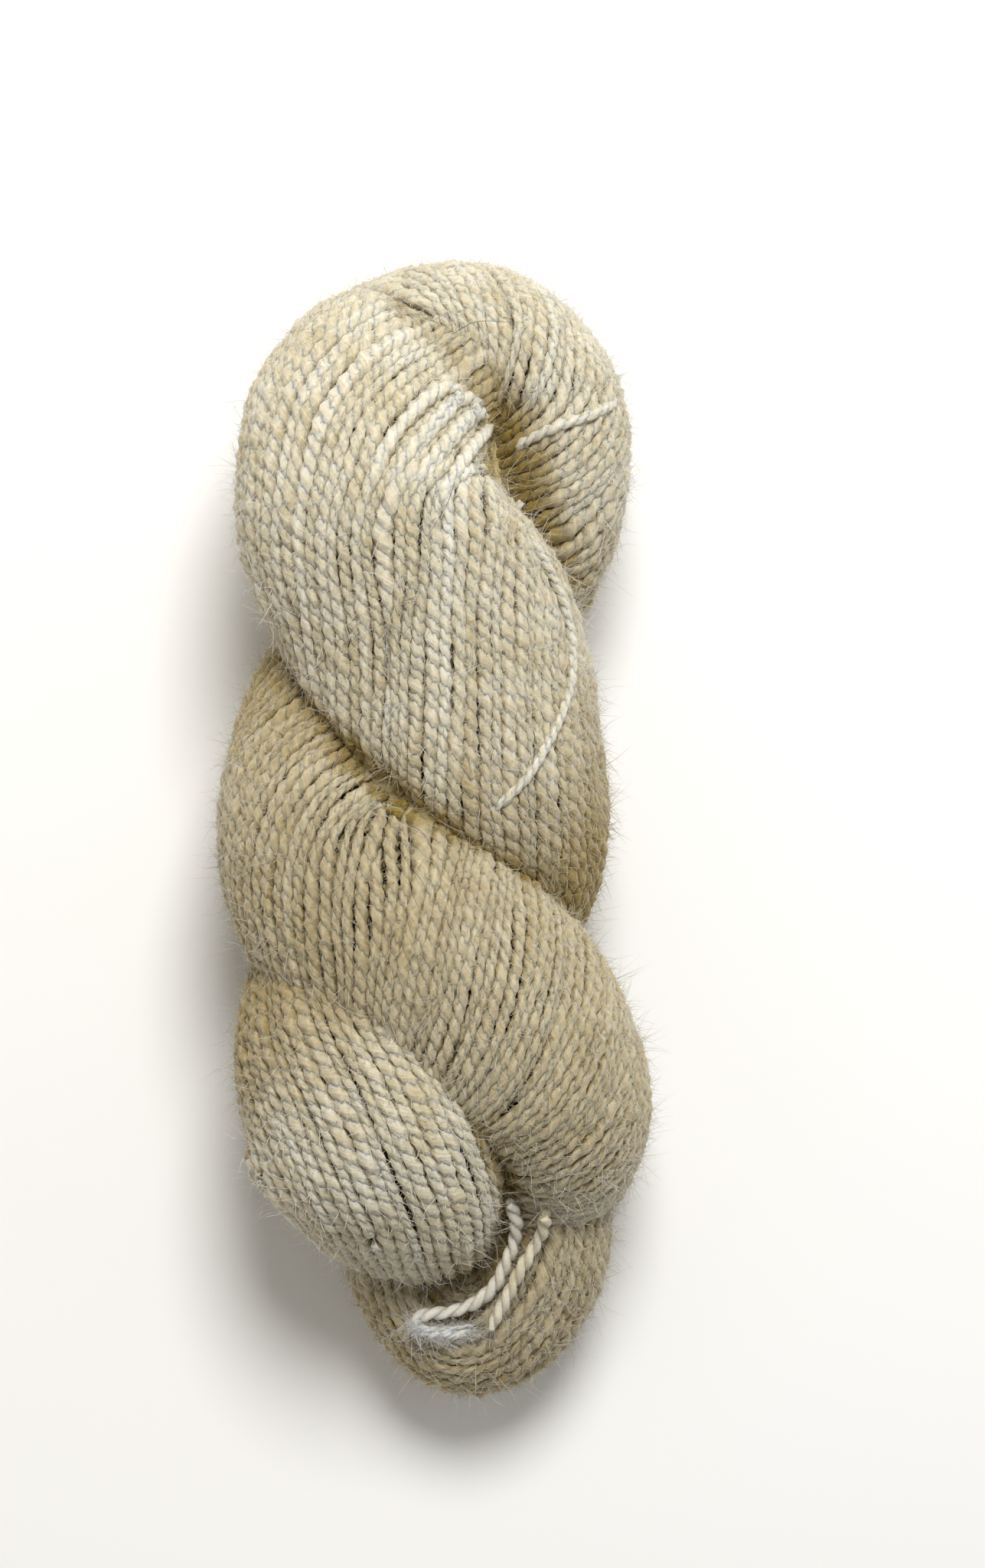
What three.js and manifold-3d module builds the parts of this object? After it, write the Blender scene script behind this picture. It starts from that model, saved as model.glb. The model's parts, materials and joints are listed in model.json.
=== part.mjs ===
// A hank of two-ply wool yarn, twisted, folded in half and left to twist back on itself.
// It lies on its side on z = 0 with its fold at +Y and its end loop at -Y, in millimetres.
// The solid is the outer form of the wound bundle; two free ends of the tie lie on it.
import * as THREE from "three";
import Module from "manifold-3d";
import { mergeVertices } from "three/addons/utils/BufferGeometryUtils.js";

const wasm = await Module();
wasm.setup();

const ringStep = 5.5;        // length of bundle between two sections
const legSides = 28;
const loopSides = 20;
const capLength = 7;         // buried round end of each bundle, past its last section
const capRings = 2;
const bendShare = 0.85;       // how far a section may reach towards the centre of its bend
const middleThick = 26;
const floorSize = 400;
const floorDepth = 40;
const tieThick = 3;
const tieSides = 8;
const tieStep = 1.6;

const cream = { color: 0xe6ddc4, roughness: 0.95, metalness: 0 };
const pale = { color: 0xeae6da, roughness: 0.95, metalness: 0 };

// The line between the two legs, which they wind round.
const heart = table("x y z", [
  [11, 83, 36],
  [6, 65, 36],
  [-1, 32, 36],
  [-3, -2, 36],
  [-1, -35, 36],
  [2, -52, 33],
  [-3, -68, 24],
]);

// A filled line that closes the gaps between the legs and the eye of the end loop.
const middle = table("x y z", [
  [6, 65, 36],
  [-1, 32, 36],
  [-3, -2, 36],
  [-1, -35, 36],
  [4, -60, 34],
  [3, -85, 22],
  [7, -103, 18],
]);

// The bundle's middle, row by row. deep is its half-size away from the heart and wide its
// half-size across that. The first leg ends in the shoulder that overhangs the fold, and the
// second starts inside that shoulder.
const firstLeg = table("x y z deep wide", [
  [-6.5, -87, 20, 13, 19],     // end of the low lobe, over the end loop
  [-8.5, -81, 34, 16, 24],
  [-11.5, -71, 44.5, 19, 28],
  [-16, -60, 49, 20, 29],      // low lobe, in front
  [-22, -46, 42, 21, 28],
  [-19, -32, 27, 18, 26],
  [-5, -19, 16, 17.5, 27],     // behind the middle lobe
  [12, -9, 20, 17, 27],
  [21, 4.5, 31, 17, 27],
  [16, 20, 45, 19, 29],
  [6, 36, 53, 20, 30],         // high lobe, in front
  [-6, 52, 55, 22, 31],
  [-14, 67, 52, 26, 31],
  [-15, 83, 47, 27, 28],
  [-17, 97, 42, 23, 24],
  [-18.5, 107, 38, 14, 18],
  [-19, 113, 34, 6, 9],        // tip of the shoulder
]);
const secondLeg = table("x y z deep wide", [
  [-10, 74, 32, 14, 16],       // inside the shoulder
  [-13, 88, 33, 19, 19],
  [-6, 101, 32, 21.5, 21],
  [4, 106.5, 33, 18.5, 22],    // top of the fold
  [14, 104, 34, 18, 23],
  [22, 94.5, 33, 18, 24],
  [23.5, 80, 30, 18, 25],
  [16, 66, 23, 17, 26],
  [1, 51.5, 16, 17.5, 26],     // behind the high lobe
  [-11, 37, 20, 18, 26],
  [-21.5, 21, 28, 20, 26],
  [-26, 3.5, 39, 21, 27],
  [-21, -11.5, 48, 21, 28],
  [-6, -22, 54, 21, 27],       // middle lobe, in front
  [9, -32, 54, 20, 26],
  [21.5, -45, 48, 19, 26],
  [28, -59, 39, 19, 23],
  [25.5, -71, 28, 17.5, 19],
  [16, -80, 17, 18, 20],       // behind the low lobe
  [8, -89, 16, 15, 18],
]);
const endLoop = table("x y z deep wide", [
  [-10, -85, 20, 13, 13],
  [-7, -97, 18, 12, 15],
  [-1, -106.5, 16, 12.5, 17],
  [7, -110.5, 16, 14, 17],     // far end of the loop
  [15.5, -107.5, 18, 14, 17],
  [22.5, -98, 22, 14, 17],
  [25.5, -88, 25, 13.5, 16],
  [26, -75, 24, 12, 14],
]);

// The tie's two free ends, each from the crease that it comes out of.
const longEnd = table("x y z", [
  [16.4, -79, 46.8],
  [17.8, -83, 43.7],
  [17.5, -88, 40.6],
  [16, -92, 39.8],
  [13.8, -97, 38.2],
  [11, -100.3, 36.7],
  [7, -102.8, 35.4],
  [2.5, -104, 35.2],
  [-1.8, -104.3, 36],
  [-4, -105.8, 36],
  [-3, -107.6, 35.4],
  [0, -108.4, 35],
  [4, -108.6, 34.4],
  [8, -108.2, 35],
]);
const shortEnd = table("x y z", [
  [24, -81.5, 48.2],
  [23.8, -84.5, 45],
  [22.3, -88, 42.6],
  [20.3, -91.5, 42.1],
  [18.3, -95, 41.3],
  [16.5, -99, 40.2],
  [14.8, -102.5, 38.9],
  [13.3, -105.3, 38],
  [12.5, -107.5, 37.5],
]);

function table(names, rows) {
  const keys = names.split(" ");
  return rows.map((row) => Object.fromEntries(keys.map((key, i) => [key, row[i]])));
}

// Nearest point of the heart line to a point, level with it along Y.
function heartAt(y) {
  const last = heart.length - 1;
  const level = THREE.MathUtils.clamp(y, heart[last].y, heart[0].y);
  const i = Math.max(1, heart.findIndex((row) => row.y <= level));
  const above = heart[i - 1];
  const below = heart[i];
  const share = (above.y - level) / (above.y - below.y);
  const mix = (key) => THREE.MathUtils.lerp(above[key], below[key], share);
  return new THREE.Vector3(mix("x"), level, mix("z"));
}

function curveThrough(points) {
  return new THREE.CatmullRomCurve3(points, false, "catmullrom", 0.5);
}

// Evenly spaced sections along a bundle's rows, each with its middle, its two half-axes, the
// way the bundle runs, and its bend, which points at the bend's centre and is 1 / radius long.
function sections(rows) {
  const path = curveThrough(rows.map((row) => new THREE.Vector3(row.x, row.y, row.z)));
  const sizes = curveThrough(rows.map((row) => new THREE.Vector3(row.deep, row.wide, 0)));
  const count = Math.round(path.getLength() / ringStep);
  const list = Array.from({ length: count + 1 }, (_, i) => {
    const t = path.getUtoTmapping(i / count);
    const middle = path.getPoint(t);
    const along = path.getTangent(t);
    const size = sizes.getPoint(t);
    const out = middle.clone().sub(heartAt(middle.y));
    out.addScaledVector(along, -out.dot(along)).normalize();
    const across = along.clone().cross(out);
    return { middle, along, out: out.multiplyScalar(size.x), across: across.multiplyScalar(size.y) };
  });
  return list.map((section, i) => {
    const before = list[Math.max(0, i - 1)];
    const after = list[Math.min(count, i + 1)];
    const gap = after.middle.distanceTo(before.middle);
    return { ...section, bend: after.along.clone().sub(before.along).divideScalar(gap) };
  });
}

function ring(section, sides, scale, shift) {
  return Array.from({ length: sides }, (_, i) => {
    const turn = (2 * Math.PI * i) / sides;
    const offset = section.out.clone().multiplyScalar(scale * Math.cos(turn))
      .addScaledVector(section.across, scale * Math.sin(turn));
    const reach = offset.dot(section.bend);
    if (reach > bendShare) offset.multiplyScalar(bendShare / reach);
    return offset.add(section.middle).addScaledVector(section.along, shift);
  });
}

// The solid between one ring of points and the next, flat at both ends.
function span(near, far) {
  const sides = near.length;
  const middleOf = (points) => points
    .reduce((sum, point) => sum.add(point), new THREE.Vector3())
    .divideScalar(sides);
  const points = [...near, ...far, middleOf(near), middleOf(far)];
  const tri = [];
  for (let i = 0; i < sides; i += 1) {
    const j = (i + 1) % sides;
    tri.push(i, j, j + sides, i, j + sides, i + sides);
    tri.push(2 * sides, j, i);
    tri.push(2 * sides + 1, i + sides, j + sides);
  }
  return solidOf(points.flatMap((point) => point.toArray()), tri);
}

// A bundle is the join of its spans, so that its tight bends may overlap, and it has a
// rounded end past its first section and its last.
function spans(rows, sides) {
  const list = sections(rows);
  const rings = list.map((section) => ring(section, sides, 1, 0));
  for (let i = 1; i <= capRings; i += 1) {
    const turn = (Math.PI / 2) * (i / (capRings + 1));
    const shift = capLength * Math.sin(turn);
    rings.unshift(ring(list[0], sides, Math.cos(turn), -shift));
    rings.push(ring(list[list.length - 1], sides, Math.cos(turn), shift));
  }
  return rings.slice(1).map((far, i) => span(rings[i], far));
}

function solidOf(positions, indices) {
  const mesh = new wasm.Mesh({
    numProp: 3,
    vertProperties: new Float32Array(positions),
    triVerts: new Uint32Array(indices),
  });
  return new wasm.Manifold(mesh);
}

function solidOfGeometry(geometry) {
  geometry.deleteAttribute("normal");
  geometry.deleteAttribute("uv");
  const merged = mergeVertices(geometry);
  return solidOf(merged.attributes.position.array, merged.index.array);
}

function geometryOf(solid) {
  const mesh = solid.getMesh();
  const geometry = new THREE.BufferGeometry();
  geometry.setAttribute("position", new THREE.BufferAttribute(mesh.vertProperties, 3));
  geometry.setIndex(new THREE.BufferAttribute(mesh.triVerts, 1));
  geometry.computeVertexNormals();
  return geometry;
}

// A round cord along a route, square at both ends.
function cord(route, thick, sides, step) {
  const path = curveThrough(route.map(({ x, y, z }) => new THREE.Vector3(x, y, z)));
  const section = new THREE.Shape();
  for (let i = 0; i < sides; i += 1) {
    const turn = (2 * Math.PI * i) / sides;
    const move = i === 0 ? "moveTo" : "lineTo";
    section[move]((thick / 2) * Math.cos(turn), (thick / 2) * Math.sin(turn));
  }
  const steps = Math.round(path.getLength() / step);
  return new THREE.ExtrudeGeometry(section, { extrudePath: path, steps, bevelEnabled: false });
}

// Everything under the surface that the hank lies on, which flattens where it touches.
function underFloor() {
  const block = new THREE.BoxGeometry(floorSize, floorSize, floorDepth);
  block.translate(0, 0, -floorDepth / 2);
  return solidOfGeometry(block);
}

function filledMiddle() {
  return solidOfGeometry(cord(middle, middleThick, loopSides, 2 * ringStep));
}

function hankGeometry() {
  const pieces = [
    ...spans(firstLeg, legSides),
    ...spans(secondLeg, legSides),
    ...spans(endLoop, loopSides),
    filledMiddle(),
  ];
  const wound = pieces.reduce((joined, piece) => joined.add(piece)).subtract(underFloor());
  const bodies = wound.decompose();
  bodies.sort((one, other) => other.volume() - one.volume());
  return geometryOf(bodies[0]);
}

function meshOf(name, geometry, finish) {
  const mesh = new THREE.Mesh(geometry, new THREE.MeshStandardMaterial(finish));
  mesh.name = name;
  return mesh;
}

const skein = new THREE.Group();
skein.add(meshOf("hank", hankGeometry(), cream));
skein.add(meshOf("tie_long", cord(longEnd, tieThick, tieSides, tieStep), pale));
skein.add(meshOf("tie_short", cord(shortEnd, tieThick, tieSides, tieStep), pale));

export default skein;
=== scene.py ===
import json

import bpy
import numpy as np
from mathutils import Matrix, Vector
from mathutils.bvhtree import BVHTree

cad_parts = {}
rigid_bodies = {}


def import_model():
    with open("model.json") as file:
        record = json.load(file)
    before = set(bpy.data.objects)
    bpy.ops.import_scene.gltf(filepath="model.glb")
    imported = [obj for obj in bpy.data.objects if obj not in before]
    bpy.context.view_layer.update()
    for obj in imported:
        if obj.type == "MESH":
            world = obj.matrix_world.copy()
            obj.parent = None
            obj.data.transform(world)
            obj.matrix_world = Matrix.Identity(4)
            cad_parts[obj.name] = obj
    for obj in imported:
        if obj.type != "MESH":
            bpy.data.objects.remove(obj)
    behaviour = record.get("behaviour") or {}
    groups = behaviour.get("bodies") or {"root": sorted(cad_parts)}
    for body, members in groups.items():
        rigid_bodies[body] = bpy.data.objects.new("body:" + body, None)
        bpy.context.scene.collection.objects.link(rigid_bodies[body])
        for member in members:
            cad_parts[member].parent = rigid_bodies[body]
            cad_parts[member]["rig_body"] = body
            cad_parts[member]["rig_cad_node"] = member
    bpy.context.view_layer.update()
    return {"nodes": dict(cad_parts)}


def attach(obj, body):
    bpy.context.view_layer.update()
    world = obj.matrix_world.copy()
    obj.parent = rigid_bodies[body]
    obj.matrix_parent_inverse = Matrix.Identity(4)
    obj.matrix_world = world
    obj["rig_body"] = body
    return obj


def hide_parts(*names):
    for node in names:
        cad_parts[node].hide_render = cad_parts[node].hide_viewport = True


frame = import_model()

mm = 0.001               # the tables below are in millimetres, Blender is in metres
seeds = {"ties": 71, "yarns": 11, "strays": 51, "halo": 31, "tuft": 5}
print("frame loaded")


def table(names, rows):
    # columns by name, so that a row reads like a line of a maker's notes
    return dict(zip(names.split(), np.array(rows, float).T))


def places(rows):
    return np.stack([rows["x"], rows["y"], rows["z"]], axis=1)


# Camera, straight above as in the photo

photo = {
    "width": 1287,
    "height": 2048,
    "pixelsPerMm": 6.0,
    "frameOrigin": (567, 1090),      # the pixel that shows the frame's origin
    "level": 35,                     # height of the outline, where the scale holds
    "lensAway": 900,                 # from there up to the lens
    "sensor": 36,
    "clip": (0.05, 10),
}


def addCamera():
    across = (photo["width"] / 2 - photo["frameOrigin"][0]) / photo["pixelsPerMm"]
    along = (photo["frameOrigin"][1] - photo["height"] / 2) / photo["pixelsPerMm"]
    bpy.ops.object.camera_add(
        location=(across * mm, along * mm, (photo["level"] + photo["lensAway"]) * mm),
        rotation=(0, 0, 0),
    )
    camera = bpy.context.object
    camera.name = "camera"
    tall = photo["height"] / photo["pixelsPerMm"]
    camera.data.sensor_width = photo["sensor"]
    camera.data.lens = photo["sensor"] * photo["lensAway"] / tall
    camera.data.clip_start, camera.data.clip_end = photo["clip"]
    bpy.context.scene.camera = camera


addCamera()
print("camera placed")


# Soft lines and slow changes that the yarns share

easeRounds = 3           # how often a line is smoothed before it is divided
fewestRings = 3


def softLine(points, count):
    # a curve through the points, bending gently from one to the next
    points = np.asarray(points, float)
    last = len(points) - 1
    t = np.linspace(0, last, count)
    i = np.minimum(t.astype(int), last - 1)
    w = (t - i)[:, None]
    more = np.vstack([2 * points[0] - points[1], points, 2 * points[-1] - points[-2]])
    before, here, there, after = more[i], more[i + 1], more[i + 2], more[i + 3]
    leave, arrive = (there - before) / 2, (after - here) / 2
    cubic = 2 * here - 2 * there + leave + arrive
    square = -3 * here + 3 * there - 2 * leave - arrive
    return cubic * w**3 + square * w**2 + leave * w + here


def lengthAlong(line):
    return np.concatenate([[0], np.cumsum(np.linalg.norm(np.diff(line, axis=0), axis=1))])


def evenly(line, columns, step):
    # the same line eased and with its points a step apart, and its columns with it
    for _ in range(easeRounds):
        line = np.vstack([line[:1], (line[:-2] + 2 * line[1:-1] + line[2:]) / 4, line[-1:]])
    along = lengthAlong(line)
    marks = np.linspace(0, along[-1], max(fewestRings, int(along[-1] / step) + 1))
    both = np.column_stack([line, columns])
    both = np.stack([np.interp(marks, along, column) for column in both.T], axis=1)
    return both[:, :3], both[:, 3:]


def unit(vectors):
    return vectors / (np.linalg.norm(vectors, axis=-1, keepdims=True) + 1e-9)


def headings(line):
    return unit(np.gradient(line, axis=0))


def drift(rng, along, wave):
    # a slow random change between -1 and 1, one bump to a wave
    marks = along / wave
    knots = rng.uniform(-1, 1, int(marks.max()) + 3)
    i = marks.astype(int)
    w = marks - i
    w = w * w * (3 - 2 * w)
    return knots[i] * (1 - w) + knots[i + 1] * w


# Meshes made from arrays

def pieceOf(name, points, polygons, corners=None, fields=None):
    # polygons is a list of arrays, each of faces with the same number of corners
    made = bpy.data.meshes.new(name)
    made.vertices.add(len(points))
    made.vertices.foreach_set("co", (points * mm).astype(np.float32).ravel())
    order = np.concatenate([faces.ravel() for faces in polygons])
    sizes = np.concatenate([np.full(len(faces), faces.shape[1]) for faces in polygons])
    made.loops.add(len(order))
    made.loops.foreach_set("vertex_index", order.astype(np.int32))
    made.polygons.add(len(sizes))
    made.polygons.foreach_set("loop_start", (np.cumsum(sizes) - sizes).astype(np.int32))
    if corners is not None:
        layer = made.uv_layers.new(name="alongYarn")
        layer.data.foreach_set("uv", corners.astype(np.float32).ravel())
    for key, values in (fields or {}).items():
        field = made.attributes.new(key, "FLOAT", "POINT")
        field.data.foreach_set("value", values.astype(np.float32))
    made.update(calc_edges=True)
    made.validate()
    made.shade_smooth()
    piece = bpy.data.objects.new(name, made)
    bpy.context.collection.objects.link(piece)
    return piece


def trianglesOf(piece):
    return sum(len(face.vertices) - 2 for face in piece.data.polygons)


# Yarn: two plies twisted round each other, swept along a line

outerYarn = {
    "sides": 4,          # of each ply
    "step": 1.2,
    "turn": 7.2,         # length of one full turn of the plies
    "offset": 0.29,      # the plies' middles from the yarn's, as a share of its half thickness
    "ply": 0.78,         # a ply's half thickness, as a share of the yarn's
    "slub": 0.2,         # how uneven each ply is
    "slubWave": 5,
    "rest": 0.02,        # lowest point over the floor
}
innerYarn = outerYarn | {"sides": 3, "step": 2.4}
tieYarn = outerYarn | {"sides": 10, "step": 0.6, "turn": 7.6, "offset": 0.42, "ply": 0.62,
                       "slub": 0.12}
plyShade = {
    "strength": 0.7,     # how much painted shade, yellower and dimmer, a yarn gets down its sides
    "below": 0.62,       # from this height over its middle, in half thicknesses
    "nextPly": 37,       # how far along the pattern of fibres the second ply starts
}


def plyRings(line, up, radius, turnLength, startTurn, rng, look):
    # rings of points round each of two plies, which wind round the line
    along = lengthAlong(line)
    ahead = headings(line)
    up = unit(up - (up * ahead).sum(1)[:, None] * ahead)
    side = np.cross(ahead, up)
    around = np.arange(look["sides"]) * 2 * np.pi / look["sides"]
    both = []
    for ply in (0, 1):
        turned = (startTurn + ply * np.pi - 2 * np.pi * along / turnLength)[:, None]
        off = np.cos(turned) * up + np.sin(turned) * side
        spine = line + off * (look["offset"] * radius)[:, None]
        run = headings(spine)
        off = unit(off - (off * run).sum(1)[:, None] * run)
        beside = np.cross(run, off)
        thick = radius * look["ply"] * (1 + look["slub"] * drift(rng, along, look["slubWave"]))
        way = np.cos(around)[:, None] * off[:, None] + np.sin(around)[:, None] * beside[:, None]
        rings = spine[:, None] + thick[:, None, None] * way
        rings[..., 2] = np.maximum(rings[..., 2], look["rest"])
        height = ((rings - line[:, None]) * up[:, None]).sum(-1) / radius[:, None]
        both.append((rings, height))
    return both, along


class Yarns:
    # gathers many lengths of yarn into one mesh

    def __init__(self):
        self.points, self.walls, self.ends, self.corners, self.lids = [], [], [], [], []
        self.values = {"crease": [], "tone": []}
        self.count = 0

    def add(self, plies, along, crease, tone):
        # painted shade: the yarn is made yellower and dimmer down its sides, where it lies
        # against the next one
        for ply, (rings, height) in enumerate(plies):
            sideShade = plyShade["strength"] * np.clip(plyShade["below"] - height, 0, 1)
            shade = np.clip(crease[:, None] + sideShade, 0, 1)
            self.addPly(rings, along + plyShade["nextPly"] * ply, shade, tone)

    def addPly(self, rings, along, shade, tone):
        count, sides = rings.shape[:2]
        grid = np.arange(count * sides).reshape(count, sides) + self.count
        beside = np.roll(grid, -1, axis=1)
        walls = np.stack([grid[:-1], beside[:-1], beside[1:], grid[1:]], axis=-1)
        turn = np.arange(sides) / sides
        near, here = np.meshgrid(along[:-1], turn, indexing="ij")
        far, there = np.meshgrid(along[1:], turn + 1 / sides, indexing="ij")
        corners = np.stack([near, here, near, there, far, there, far, here], axis=-1)
        self.points.append(rings.reshape(-1, 3))
        self.walls.append(walls.reshape(-1, 4))
        self.corners.append(corners.reshape(-1, 2))
        self.ends.append(np.stack([grid[0][::-1], grid[-1]]))
        self.lids.append(np.repeat([[along[0], 0], [along[-1], 0]], sides, axis=0))
        self.values["crease"].append(shade.ravel())
        self.values["tone"].append(np.repeat(tone, sides))
        self.count += count * sides

    def piece(self, name):
        return pieceOf(
            name,
            np.concatenate(self.points),
            [np.concatenate(self.walls), np.concatenate(self.ends)],
            np.concatenate(self.corners + self.lids),
            {key: np.concatenate(values) for key, values in self.values.items()},
        )


# The tie's two free ends, along their CAD routes

longEnd = {
    "length": 57,
    "thick": 3,
    "route": table("x y z", [
        [16.4, -79, 46.8],
        [17.8, -83, 43.7],
        [17.5, -88, 40.6],
        [16, -92, 39.8],
        [13.8, -97, 38.2],
        [11, -100.3, 36.7],
        [7, -102.8, 35.4],
        [2.5, -104, 35.2],
        [-1.8, -104.3, 36],
        [-4, -105.8, 36],
        [-3, -107.6, 35.4],
        [0, -108.4, 35],
        [4, -108.6, 34.4],
        [8, -108.2, 35],
    ]),
}
shortEnd = {
    "length": 31,
    "thick": 3,
    "route": table("x y z", [
        [24, -81.5, 48.2],
        [23.8, -84.5, 45],
        [22.3, -88, 42.6],
        [20.3, -91.5, 42.1],
        [18.3, -95, 41.3],
        [16.5, -99, 40.2],
        [14.8, -102.5, 38.9],
        [13.3, -105.3, 38],
        [12.5, -107.5, 37.5],
    ]),
}
tieEnds = {
    "samples": 400,
    "uneven": 0.06,      # how much their thickness wanders
    "unevenWave": 9,
    "taper": 5,          # steps over which the tip thins
    "tip": 0.45,         # what is left of its section there
    "startTurn": 0.6,
    "tone": 0.4,         # how much lighter than usual the yarn is
}


def addTie(name, end, seed):
    rng = np.random.default_rng(seed)
    line = softLine(places(end["route"]), tieEnds["samples"])
    line, _ = evenly(line, np.zeros((len(line), 1)), tieYarn["step"])
    count = len(line)
    along = np.linspace(0, 1, count)
    wander = drift(rng, along * end["length"], tieEnds["unevenWave"])
    radius = end["thick"] / 2 * (1 + tieEnds["uneven"] * wander)
    radius = radius * np.clip((1 - along) * count / tieEnds["taper"], tieEnds["tip"], 1)**0.5
    rings, marks = plyRings(line, np.tile([0, 0, 1.0], (count, 1)), radius, tieYarn["turn"],
                            tieEnds["startTurn"], rng, tieYarn)
    yarn = Yarns()
    yarn.add(rings, marks, np.zeros(count), np.full(count, tieEnds["tone"]))
    return yarn.piece(name), line


ties = {}
tieLines = {}
for seed, (name, end) in enumerate({"tieYarn_long": longEnd, "tieYarn_short": shortEnd}.items()):
    ties[name], tieLines[name] = addTie(name, end, seeds["ties"] + seed)
print("ties made")


# The hank's bundles. A section's middle is out from the heart line by its place, deep is its
# half-size that way and wide its half-size across. lean is how far the yarns lie off the
# bundle's own run, in degrees, and dim the painted shade there, how yellow and dark, up to 1.

heart = table("x y z", [
    [11, 83, 36],
    [6, 65, 36],
    [-1, 32, 36],
    [-3, -2, 36],
    [-1, -35, 36],
    [2, -52, 33],
    [-3, -68, 24],
])

lowLobe = [
    [-6.5, -87, 20, 13, 19, 0, 0.3],          # end of the low lobe, over the end loop
    [-8.5, -81, 34, 16, 24, 0, 0.1],
    [-11.5, -71, 44.5, 19, 28, 2, 0],
    [-16, -60, 49, 20, 29, 5, 0.05],          # low lobe, in front
    [-22, -46, 42, 21, 28, 10, 0.7],
    [-19, -32, 27, 18, 26, 20, 0.9],
    [-5, -19, 16, 17.5, 27, 25, 0.5],         # behind the middle lobe
    [12, -9, 20, 17, 27, 28, 0.75],
    [21, 4.5, 31, 17, 27, 30, 0.85],
    [16, 20, 45, 19, 29, 36, 0.35],
    [6, 36, 53, 20, 30, 38, 0.15],            # high lobe, in front
]
firstLeg = {
    "yarns": 51,
    "rows": table("x y z deep wide lean dim", lowLobe + [
        [-6, 52, 55, 22, 31, 30, 0.1],
        [-14, 67, 52, 26, 31, 24, 0],
        [-15, 83, 47, 27, 28, 10, 0],
        [-17, 97, 42, 23, 24, 0, 0],
        [-18.5, 107, 38, 14, 18, 0, 0],
        [-19, 113, 34, 6, 9, 0, 0],           # tip of the shoulder
    ]),
    # the yarns turn right over the shoulder, into the fold
    "run": table("x y z deep wide lean dim", lowLobe + [
        [-5, 51, 55, 22, 31, 42, 0.1],
        [-12.5, 64, 53, 25, 31, 40, 0],
        [-14, 77, 49.5, 27, 30, 28, 0],
        [-9, 88, 45, 27, 28, 14, 0],
        [0, 96.5, 38, 24, 25, 0, 0],
        [9, 102, 30, 21, 21, 0, 0.1],
    ]),
}
secondLeg = {
    "yarns": 45,
    "rows": table("x y z deep wide lean dim", [
        [-10, 74, 32, 14, 16, 67, 0.2],       # inside the shoulder
        [-13, 88, 33, 19, 19, 66, 0.1],
        [-6, 101, 32, 21.5, 21, 68, 0],
        [4, 106.5, 33, 18.5, 22, 71, 0],      # top of the fold
        [14, 104, 34, 18, 23, 70, 0],
        [22, 94.5, 33, 18, 24, 66, 0.1],
        [23.5, 80, 30, 18, 25, 62, 0.2],
        [16, 66, 23, 17, 26, 50, 0.4],
        [1, 51.5, 16, 17.5, 26, 36, 0.5],     # behind the high lobe
        [-11, 37, 20, 18, 26, 34, 0.5],
        [-21.5, 21, 28, 20, 26, 44, 0.75],
        [-26, 3.5, 39, 21, 27, 54, 0.4],
        [-21, -11.5, 48, 21, 28, 64, 0.45],
        [-6, -22, 54, 21, 27, 70, 0.5],       # middle lobe, in front
        [9, -32, 54, 20, 26, 74, 0.4],
        [21.5, -45, 48, 19, 26, 76, 0.45],
        [28, -59, 39, 19, 23, 77, 0.4],
        [25.5, -71, 28, 17.5, 19, 77, 0.2],
        [16, -80, 17, 18, 20, 72, 0.4],       # behind the low lobe
        [8, -89, 16, 15, 18, 60, 0.4],
    ]),
}
endLoop = {
    "yarns": 34,
    "rows": table("x y z deep wide lean dim", [
        [-10, -85, 20, 13, 13, 12, 0.5],
        [-7, -97, 18, 12, 15, 12, 0.5],
        [-1, -106.5, 16, 12.5, 17, 10, 0.5],
        [7, -110.5, 16, 14, 17, 6, 0.5],      # far end of the loop
        [15.5, -107.5, 18, 14, 17, 6, 0.5],
        [22.5, -98, 22, 14, 17, 6, 0.5],
        [25.5, -88, 25, 13.5, 16, 6, 0.5],
        [26, -75, 24, 12, 14, 6, 0.5],
    ]),
}
loopEye = {
    "yarns": 22,
    "rows": table("x y z deep wide lean dim", [
        [-3, -80, 24, 9, 10, 4, 0.6],
        [-1, -90, 23, 9, 10, 4, 0.6],
        [4, -98.5, 22, 9, 10, 4, 0.6],        # the loop's inner bend, where no eye is left
        [11, -99, 22.5, 9, 10, 4, 0.6],
        [16, -92, 24, 9, 10, 4, 0.6],
        [18, -82, 27, 9, 10, 4, 0.6],
        [18, -74, 27, 9, 10, 4, 0.6],
    ]),
}
bundles = {
    "firstLeg": firstLeg,
    "secondLeg": secondLeg,
    "endLoop": endLoop,
    "loopEye": loopEye,
}

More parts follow.
